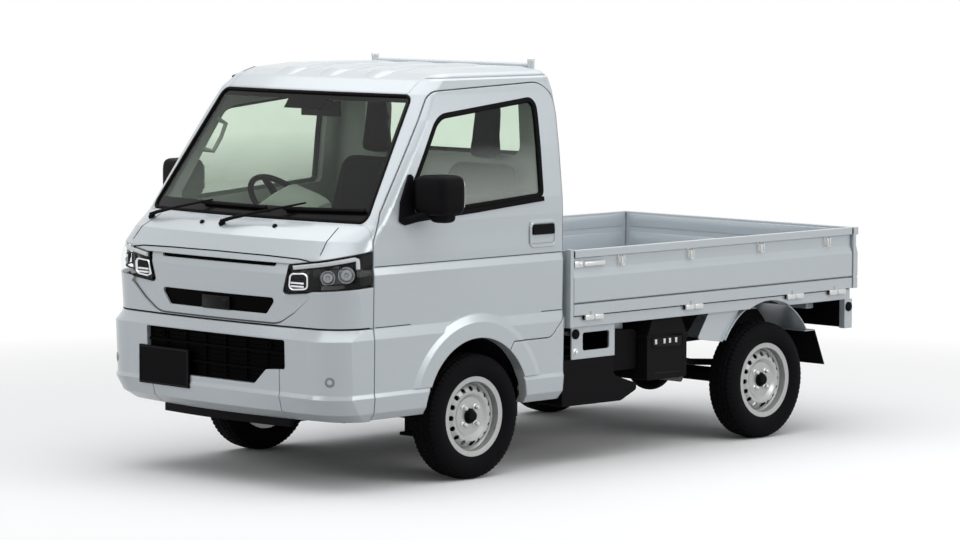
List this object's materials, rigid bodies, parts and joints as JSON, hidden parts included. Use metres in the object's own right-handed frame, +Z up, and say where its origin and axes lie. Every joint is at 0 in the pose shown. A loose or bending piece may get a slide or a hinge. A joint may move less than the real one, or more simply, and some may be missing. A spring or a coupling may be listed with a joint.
{
  "type": "kei truck",
  "caption": "Small silver cab-over pick-up truck with steered front wheels, hinged doors, a flat load bed with fold-down gates and a guard frame behind the cab.",
  "frame": {"origin": "on the ground, at mid length and mid width", "axes": "+X to the truck's left, +Y to the rear, +Z up"},
  "size_m": [1.8026, 3.395, 1.7649],
  "materials": {
    "engine_metal": "cast",
    "exhaust_steel": "dull",
    "frame_black": "satin",
    "glass": "clear, slightly green",
    "lamp_lens": "clear",
    "lamp_red": "gloss",
    "paint_silver": "metallic paint",
    "plastic_black": "grained",
    "plate_blank": "satin",
    "rubber_black": "matt",
    "seat_fabric": "woven",
    "tyre": "matt",
    "wheel_silver": "silver paint"
  },
  "bodies": {
    "chassis": {"air_cleaner": "plastic_black", "battery_box": "plastic_black", "bed_floor": "paint_silver", "bed_rear_posts": "paint_silver", "cab_floor": "paint_silver", "cab_rear_wall": "paint_silver", "cab_sides": "paint_silver", "chin_lip": "plastic_black", "dashboard": "plastic_black", "engine": "engine_metal", "exhaust": "exhaust_steel", "front_bumper": "paint_silver", "front_grille": "plastic_black", "front_suspension": "frame_black", "fuel_tank": "frame_black", "guard_frame": "paint_silver", "headlamps": "lamp_lens", "interior_mirror": "plastic_black", "ladder_frame": "frame_black", "leaf_springs": "frame_black", "mudflaps": "rubber_black", "nose_panel": "paint_silver", "number_plates": "plate_blank", "rear_axle": "frame_black", "rear_fenders": "paint_silver", "rear_lamps": "lamp_red", "rear_window": "glass", "roof_panel": "paint_silver", "seats": "seat_fabric", "side_covers": "plastic_black", "side_plates": "paint_silver", "spare_rim": "wheel_silver", "spare_tyre": "tyre", "wheel_liners": "plastic_black", "windscreen": "glass", "wipers": "plastic_black"},
    "door_left": {"door_left": "paint_silver", "door_glass_left": "glass", "mirror_left": "plastic_black"},
    "side_gate_left": {"side_gate_left": "paint_silver"},
    "knuckle_left": {"knuckle_left": "frame_black"},
    "wheel_front_left": {"rim_front_left": "wheel_silver", "tyre_front_left": "tyre"},
    "wheel_rear_left": {"rim_rear_left": "wheel_silver", "tyre_rear_left": "tyre"},
    "door_right": {"door_right": "paint_silver", "door_glass_right": "glass", "mirror_right": "plastic_black"},
    "side_gate_right": {"side_gate_right": "paint_silver"},
    "knuckle_right": {"knuckle_right": "frame_black"},
    "wheel_front_right": {"rim_front_right": "wheel_silver", "tyre_front_right": "tyre"},
    "wheel_rear_right": {"rim_rear_right": "wheel_silver", "tyre_rear_right": "tyre"},
    "tail_gate": {"tail_gate": "paint_silver"},
    "steering_wheel": {"steering_wheel": "plastic_black"}
  },
  "joints": [
    {"name": "steer_left", "type": "hinge", "parent": "chassis", "child": "knuckle_left", "pos_m": [0.598, -0.8475, 0.19], "axis": [-0.1843, 0, 0.9829], "range_deg": [-36, 36]},
    {"name": "spin_front_left", "type": "hinge", "parent": "knuckle_left", "child": "wheel_front_left", "pos_m": [0.651, -0.8475, 0.268], "axis": [1, 0, 0], "continuous": true},
    {"name": "spin_rear_left", "type": "hinge", "parent": "chassis", "child": "wheel_rear_left", "pos_m": [0.651, 1.0575, 0.268], "axis": [1, 0, 0], "continuous": true},
    {"name": "door_left_swing", "type": "hinge", "parent": "chassis", "child": "door_left", "pos_m": [0.724, -1.4475, 0.7], "axis": [0, 0, -1], "range_deg": [0, 65]},
    {"name": "side_gate_left_fold", "type": "hinge", "parent": "chassis", "child": "side_gate_left", "pos_m": [0.734, 0.7025, 0.64], "axis": [0, 1, 0], "range_deg": [0, 175]},
    {"name": "steer_right", "type": "hinge", "parent": "chassis", "child": "knuckle_right", "pos_m": [-0.598, -0.8475, 0.19], "axis": [0.1843, 0, 0.9829], "range_deg": [-36, 36]},
    {"name": "spin_front_right", "type": "hinge", "parent": "knuckle_right", "child": "wheel_front_right", "pos_m": [-0.651, -0.8475, 0.268], "axis": [1, 0, 0], "continuous": true},
    {"name": "spin_rear_right", "type": "hinge", "parent": "chassis", "child": "wheel_rear_right", "pos_m": [-0.651, 1.0575, 0.268], "axis": [1, 0, 0], "continuous": true},
    {"name": "door_right_swing", "type": "hinge", "parent": "chassis", "child": "door_right", "pos_m": [-0.724, -1.4475, 0.7], "axis": [0, 0, 1], "range_deg": [0, 65]},
    {"name": "side_gate_right_fold", "type": "hinge", "parent": "chassis", "child": "side_gate_right", "pos_m": [-0.734, 0.7025, 0.64], "axis": [0, -1, 0], "range_deg": [0, 175]},
    {"name": "tail_gate_fold", "type": "hinge", "parent": "chassis", "child": "tail_gate", "pos_m": [0, 1.691, 0.64], "axis": [-1, 0, 0], "range_deg": [0, 175]},
    {"name": "steering_wheel_turn", "type": "hinge", "parent": "chassis", "child": "steering_wheel", "pos_m": [-0.34, -0.9735, 1.11], "axis": [0, 0.766, 0.6428], "range_deg": [-630, 630]}
  ],
  "couplings": [
    {"joint": "steer_right", "follows": "steer_left", "ratio": 1},
    {"joint": "steering_wheel_turn", "follows": "steer_left", "ratio": 17.5}
  ]
}
